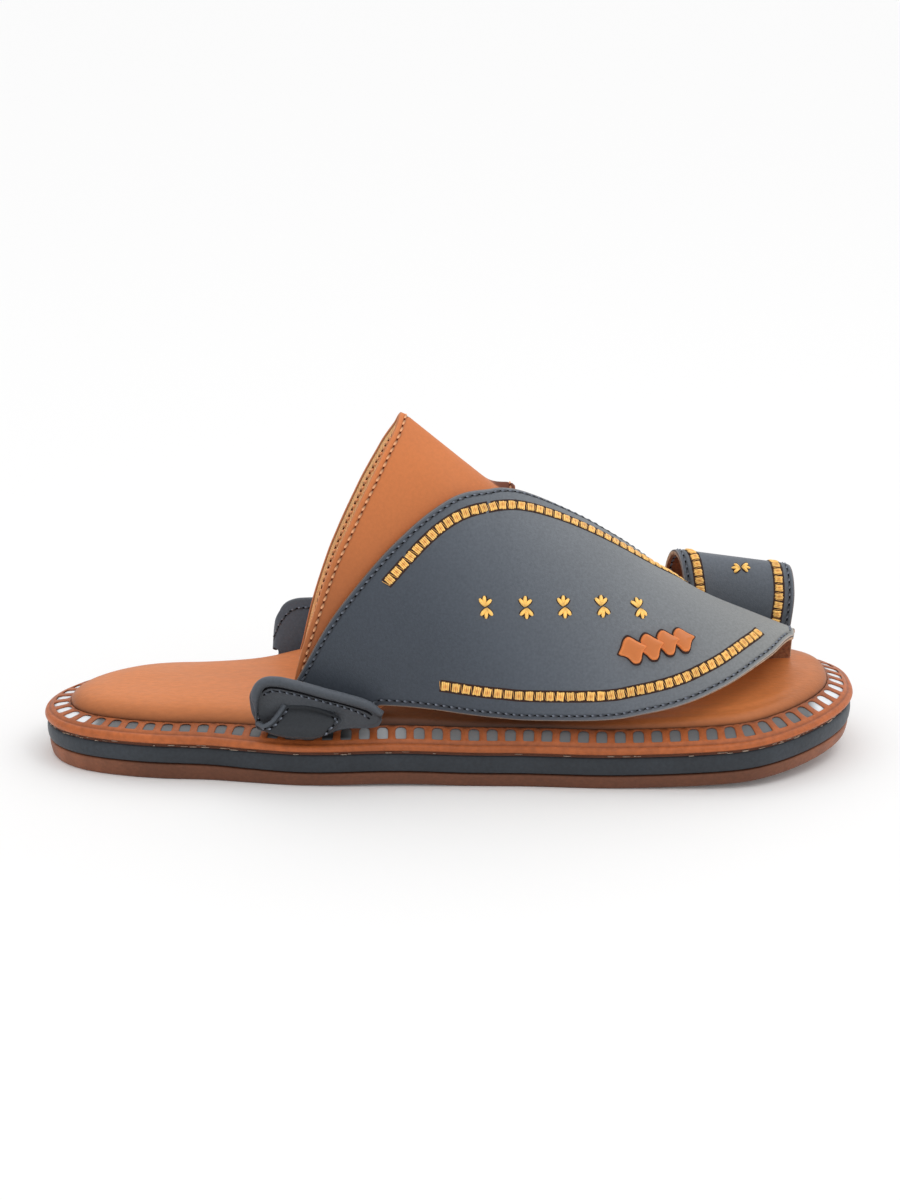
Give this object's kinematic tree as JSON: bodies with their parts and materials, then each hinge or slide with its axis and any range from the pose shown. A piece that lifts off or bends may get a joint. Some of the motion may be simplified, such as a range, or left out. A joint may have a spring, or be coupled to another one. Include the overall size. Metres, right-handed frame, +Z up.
{
  "type": "arabic sandal",
  "caption": "Flat open leather sandal for the right foot, with a peaked tan instep saddle, grey side wings, a big-toe loop and a padded sole edged by a slotted border.",
  "frame": {"origin": "on the floor under the middle of the sandal's length and width", "axes": "+X from heel to toe, +Y towards the inner (big toe) side, +Z up"},
  "size_m": [0.29, 0.0996, 0.1235],
  "materials": {
    "outsole_rubber": "brown moulded rubber, satin",
    "midsole_rubber": "slate grey painted rubber edge, satin",
    "silver_strip": "smooth silver grey coated strip",
    "tan_leather": "smooth tan leather, fine grain",
    "slate_leather": "matte slate grey nubuck-like leather"
  },
  "bodies": {
    "root": {"outsole": "outsole_rubber", "midsole": "midsole_rubber", "underlay": "silver_strip", "border": "tan_leather", "insole": "tan_leather", "vamp": "tan_leather", "wing_lateral": "slate_leather", "wing_medial": "slate_leather", "toe_loop": "slate_leather", "ear_lateral": "slate_leather", "ear_medial": "slate_leather", "diamond_1": "tan_leather", "diamond_2": "tan_leather", "diamond_3": "tan_leather", "diamond_4": "tan_leather"}
  },
  "joints": []
}
